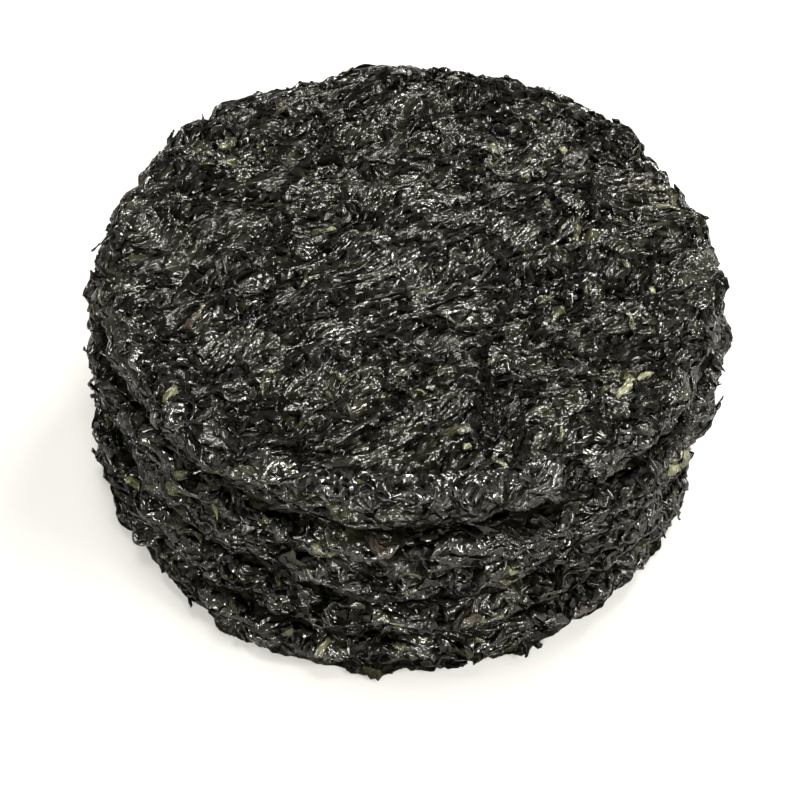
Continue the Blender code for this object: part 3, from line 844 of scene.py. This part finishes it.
# Flakes of another colour. On the face: place in the cake's own frame, heading, length, width.
# On the side: bearing, height over the plate, heading from level, length, width. Then how many more
# small ones are drawn over the face and over the sides.
BITS = {
    "olive": {
        "face": ((43.8, -22.6, 62, 10, 4.2), (15.0, 17.1, 24, 11, 2.4), (15.2, -69.7, 12, 9, 4.0),
                 (-61.0, 49.8, 48, 8, 3.0), (40.0, -18.0, 20, 6, 3.0), (26.0, -80.0, -20, 7, 2.4)),
        "side": ((-102, 56, 25, 8, 4.5), (-92, 3, 10, 7, 3.5), (-70, 38, 15, 6, 3.0),
                 (-45, 30, -20, 6, 3.0)),
        "more": (26, 22),
    },
    "green": {
        "face": ((-64.7, -59.2, 80, 6, 3.4), (61.9, -51.0, 72, 13, 3.6), (68.0, -47.0, 40, 6, 2.6)),
        "side": ((-34, 50, 60, 15, 8.0), (-31, 46, 10, 9, 5.0), (-38, 54, 100, 7, 3.6),
                 (-18, 24, 30, 7, 4.5)),
        "more": (5, 5),
    },
    "brown": {
        "face": ((-71.7, -66.9, 40, 7, 4.2), (-62.3, -30.2, 30, 9, 3.2), (-30.0, -14.0, 30, 10, 2.6)),
        "side": ((-57, 18, 12, 12, 3.2), (-88, 17, 0, 9, 2.2), (-93, 60, 15, 9, 2.4),
                 (-75, 26, 5, 8, 2.0), (-48, 22, -8, 10, 2.8), (-41, 13, 10, 9, 2.6),
                 (-52, 9, 0, 11, 2.4), (-44, 34, 12, 8, 2.4)),
        "more": (26, 26),
    },
    "grey": {
        "face": ((-5.7, 84.8, 0, 8, 3.2), (13.1, 84.9, 12, 6, 2.6), (-30.0, 78.0, 20, 8, 3.0)),
        "side": ((-115, 56, 0, 5, 3.6),),
        "more": (6, 5),
    },
}


def coloured_bits(kind, forms, rng):
    """The flakes of one colour: those at their places, and small ones over the face and the sides."""
    top, bits, parts = forms[TOP], BITS[kind], []
    n = bits["more"][0]
    r, turn = BIT_REACH * np.sqrt(rng.random(n)), rng.uniform(0, 2 * math.pi, n)
    small = stack(r * np.cos(turn), r * np.sin(turn), rng.uniform(0, 360, n),
                  rng.uniform(2, 5, n), rng.uniform(1.2, 2.6, n))
    x, y, heading, length, width = np.concatenate([np.array(bits["face"], float), small]).T
    strips = Strips(rng, x, y, np.radians(heading), length, width, 8, 4, BIT)
    parts.append((strips, on_face(top, strips), rng.uniform(-0.06, 0.10, len(x)), None))
    n = bits["more"][1]
    small = stack(rng.uniform(-180, 180, n), rng.uniform(3, 72, n), rng.normal(0, 25, n),
                  rng.uniform(2, 5, n), rng.uniform(1.2, 2.6, n))
    spots = np.concatenate([np.array(bits["side"], float), small])
    for form in forms:
        low, high = form.span
        bearing, height, heading, length, width = spots[(spots[:, 1] > low) & (spots[:, 1] < high)].T
        if len(bearing) == 0:
            continue
        place = along_girth(form, bearing), np.clip(arc_at(form, height), 1.0, 0.8 * form.arc_length)
        strips = Strips(rng, *place, np.radians(heading), length, width, 8, 4, BIT)
        parts.append((strips, on_side(form, strips), rng.uniform(-0.06, 0.10, len(bearing)), form))
    material = laver_material("laver_" + kind, "grain_strip", BIT_COLOURS[kind], tinted=True)
    gather("laver_" + kind + "_bits", parts, material)


# ---------------------------------------------------------------- materials
# Each colour ramp: positions and the colours there.
MAT_COLOURS = (
    (0.00, (0.0036, 0.0034, 0.0026)),
    (0.45, (0.0060, 0.0056, 0.0040)),
    (0.58, (0.0125, 0.0120, 0.0074)),
    (0.68, (0.0250, 0.0242, 0.0128)),
    (1.00, (0.0520, 0.0510, 0.0245)),
)
STRIP_COLOURS = (
    (0.00, (0.0036, 0.0034, 0.0025)),
    (0.50, (0.0062, 0.0058, 0.0042)),
    (0.72, (0.0130, 0.0126, 0.0076)),
    (0.88, (0.0300, 0.0300, 0.0150)),
    (1.00, (0.0750, 0.0750, 0.0370)),
)
SATIN_COLOURS = (
    (0.00, (0.0050, 0.0048, 0.0038)),
    (0.50, (0.0090, 0.0088, 0.0072)),
    (0.72, (0.0200, 0.0198, 0.0150)),
    (1.00, (0.0700, 0.0700, 0.0500)),
)
BIT_COLOURS = {
    "olive": (
        (0.00, (0.006, 0.006, 0.004)), (0.46, (0.014, 0.014, 0.008)),
        (0.60, (0.036, 0.036, 0.019)), (0.84, (0.105, 0.102, 0.060)),
    ),
    "green": (
        (0.00, (0.012, 0.013, 0.007)), (0.44, (0.040, 0.042, 0.020)),
        (0.58, (0.098, 0.099, 0.058)), (0.84, (0.235, 0.233, 0.158)),
    ),
    "brown": (
        (0.00, (0.005, 0.004, 0.003)), (0.48, (0.010, 0.008, 0.006)),
        (0.62, (0.026, 0.021, 0.016)), (0.86, (0.085, 0.072, 0.055)),
    ),
    "grey": (
        (0.00, (0.008, 0.008, 0.007)), (0.46, (0.026, 0.026, 0.023)),
        (0.60, (0.085, 0.085, 0.076)), (0.84, (0.220, 0.218, 0.195)),
    ),
}


def feed(made, inputs):
    """Links sockets to the inputs of a shader node, or sets their values."""
    for key, value in inputs.items():
        if isinstance(value, bpy.types.NodeSocket):
            made.id_data.links.new(value, made.inputs[key])
        else:
            made.inputs[key].default_value = value


def node(material, kind, inputs, **settings):
    """The outputs of a new shader node."""
    made = material.node_tree.nodes.new("ShaderNode" + kind)
    for key, value in settings.items():
        setattr(made, key, value)
    feed(made, inputs)
    return made.outputs


def spread_value(material, value, low, high):
    """A shader value between 0 and 1, spread from low to high."""
    return node(material, "MapRange", {"Value": value, "To Min": low, "To Max": high})["Result"]


def noise_value(material, place, scale, detail, roughness=0.5, distortion=0.0):
    """Shader noise between 0 and 1."""
    inputs = {"Vector": place, "Scale": scale, "Detail": detail}
    inputs |= {"Roughness": roughness, "Distortion": distortion}
    return node(material, "TexNoise", inputs)["Fac"]


def facet_height(material, place):
    """A leaning plane in each Voronoi cell: crumpled film with sharp creases."""
    density = {"Scale": FACET_DENSITY}
    cells = node(material, "TexVoronoi", {"Vector": place} | density)
    spot = node(material, "VectorMath", {0: place} | density, operation="SCALE")
    ends = {0: spot[0], 1: cells["Position"]}
    inside = node(material, "VectorMath", ends, operation="SUBTRACT")
    ends = {0: cells["Color"], 1: (0.5, 0.5, 0.5)}
    lean = node(material, "VectorMath", ends, operation="SUBTRACT")
    ends = {0: inside[0], 1: lean[0]}
    return node(material, "VectorMath", ends, operation="DOT_PRODUCT")["Value"]


def laver_material(name, grain, colours, tinted=False, gloss=GLOSS, ior=LAVER_IOR):
    """Near-black film: facets and strands along the grain, coloured patches, and painted shade in the
    seams, where the base colour is darkened and the specular weakened.

    Grain names the attribute with the coordinates along the grain. A tinted material also reads the
    shade of each strip.
    """
    if name in bpy.data.materials:
        return bpy.data.materials[name]
    material = bpy.data.materials.new(name)
    material.use_nodes = True
    place = node(material, "Attribute", {}, attribute_name=grain)["Vector"]

    where = node(material, "TexCoord", {})["Object"]
    edges = {"From Min": ZONE_EDGES[0], "From Max": ZONE_EDGES[1]}
    edges["Value"] = noise_value(material, where, ZONE_SCALE, 2.0)
    crumpled_share = node(material, "MapRange", edges, interpolation_type="SMOOTHSTEP")
    zone = crumpled_share["Result"]

    strands = noise_value(material, place, STRAND_DENSITY, 1.0, distortion=0.3)
    strands = node(material, "Math", {0: strands, 1: STRAND_HEIGHT}, operation="MULTIPLY")
    folds = {0: facet_height(material, place), 1: spread_value(material, zone, *FACET_HEIGHT)}
    height = node(material, "Math", folds | {2: strands[0]}, operation="MULTIPLY_ADD")
    relief = {"Strength": 1.0, "Distance": BUMP_DISTANCE * MM, "Height": height[0]}

    density = STRIP_PATCH_DENSITY if tinted else PATCH_DENSITY
    patches = noise_value(material, place, density, 5.0, roughness=PATCH_ROUGHNESS)
    if tinted:
        shade = node(material, "Attribute", {}, attribute_name="tint")["Fac"]
        mixed = {0: patches, 1: PATCH_CONTRAST, 2: shade}
        patches = node(material, "Math", mixed, operation="MULTIPLY_ADD")[0]
    colour = node(material, "ValToRGB", {"Fac": patches})["Color"]
    stops = colour.node.color_ramp
    for stop, (position, shown) in zip(stops.elements, (colours[0], colours[-1])):
        stop.position, stop.color = position, (*shown, 1.0)
    for position, shown in colours[1:-1]:
        stops.elements.new(position).color = (*shown, 1.0)

    # Painted shade: the seam attribute darkens the base colour and weakens the specular in the seams,
    # grooves and hollows.
    depth = node(material, "Attribute", {}, attribute_name="seam_shade")["Fac"]
    seam_shaded = {0: colour, "Scale": spread_value(material, depth, 1.0, SEAM_SHADE_DIMMING)}
    feed(material.node_tree.nodes["Principled BSDF"], {
        "Base Color": node(material, "VectorMath", seam_shaded, operation="SCALE")[0],
        "Specular IOR Level": spread_value(material, depth, 0.5, SEAM_SHADE_SPECULAR),
        "Roughness": spread_value(material, zone, *gloss),
        "Normal": node(material, "Bump", relief)["Normal"],
        "IOR": ior,
        "Metallic": 0.0,
    })
    return material


def strip_material():
    return laver_material("laver_strip", "grain_strip", STRIP_COLOURS, tinted=True)


def satin_material(name, ior):
    return laver_material(name, "grain_strip", SATIN_COLOURS, True, SATIN_GLOSS, ior)


def plain_material(name, colour, roughness):
    material = bpy.data.materials.new(name)
    material.use_nodes = True
    shader = material.node_tree.nodes["Principled BSDF"]
    feed(shader, {"Base Color": (*colour, 1.0), "Roughness": roughness})
    return material


# ---------------------------------------------------------------- stage, lights and camera
FLOOR_REACH = 6.0
FLOOR_SHADE = 0.35
WARM = (1.0, 0.975, 0.91)
WORLD_STRENGTH = 0.36
LIGHT_TARGET = (0.0, 0.0, 0.05)
# Each light: its place, its size and its power.
LIGHTS = {
    "key": ((0.55, 0.75, 1.05), (0.50, 0.40), 31.0),
    "over": ((-0.1, 0.1, 1.4), (0.45, 0.45), 20.0),
    "front": ((-0.15, -1.0, 1.0), (0.34, 0.28), 27.0),
    "low": ((0.30, -1.25, 0.42), (0.50, 0.22), 20.0),
    "right": ((0.95, -0.45, 0.85), (0.34, 0.28), 17.0),
}
LENS = 66.645
CAMERA_PITCH = math.radians(49.6)
CAMERA_ROLL = math.radians(2.18)
CAMERA_AWAY = 5.14 * MEAN_RADIUS * MM
CAMERA_TARGET = (-0.0085 * MEAN_RADIUS * MM, -0.00223, 0.1065 * MEAN_RADIUS * MM)


def aim(obj, target, roll=0.0):
    direction = Vector(target) - obj.location
    turned = direction.to_track_quat("-Z", "Y").to_matrix() @ Matrix.Rotation(roll, 3, "Z")
    obj.rotation_euler = turned.to_euler()


def area_light(name, place, size, power):
    data = bpy.data.lights.new(name, "AREA")
    data.shape = "RECTANGLE"
    data.size, data.size_y = size
    data.energy = power
    data.color = WARM
    obj = bpy.data.objects.new(name, data)
    obj.location = place
    bpy.context.scene.collection.objects.link(obj)
    aim(obj, LIGHT_TARGET)


def stage():
    far = FLOOR_REACH
    corners = [(-far, -far, 0), (far, -far, 0), (far, far, 0), (-far, far, 0)]
    mesh = bpy.data.meshes.new("floor")
    mesh.from_pydata(corners, [], [(0, 1, 2, 3)])
    floor = bpy.data.objects.new("floor", mesh)
    bpy.context.scene.collection.objects.link(floor)
    floor.data.materials.append(plain_material("floor_pale", (FLOOR_SHADE,) * 3, 0.9))

    world = bpy.data.worlds.new("studio")
    world.use_nodes = True
    background = world.node_tree.nodes["Background"]
    feed(background, {"Color": (*WARM, 1.0), "Strength": WORLD_STRENGTH})
    bpy.context.scene.world = world
    for name, (place, size, power) in LIGHTS.items():
        area_light(name, place, size, power)
    bpy.context.scene.view_settings.view_transform = "Standard"


def camera():
    data = bpy.data.cameras.new("camera")
    data.sensor_width = 36.0
    data.lens = LENS
    data.clip_start = 0.01
    obj = bpy.data.objects.new("camera", data)
    bpy.context.scene.collection.objects.link(obj)
    back, up = CAMERA_AWAY * math.cos(CAMERA_PITCH), CAMERA_AWAY * math.sin(CAMERA_PITCH)
    obj.location = Vector(CAMERA_TARGET) + Vector((0.0, -back, up))
    aim(obj, CAMERA_TARGET, roll=CAMERA_ROLL)
    bpy.context.scene.camera = obj


# ---------------------------------------------------------------- the scene
def main():
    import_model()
    forms = [Form(index) for index in range(len(CAKES))]
    for form in forms:
        mat(form)
    face_fronds(forms[TOP], np.random.default_rng(FACE_DRAW))
    for form in forms:
        side_fronds(form, np.random.default_rng(SIDE_DRAW + form.index))
    lip_fronds(forms[TOP], np.random.default_rng(LIP_DRAW))
    rim_tufts(forms, np.random.default_rng(TUFT_DRAW))
    for k, kind in enumerate(BITS):
        coloured_bits(kind, forms, np.random.default_rng(BIT_DRAW + k))
    stage()
    camera()


main()
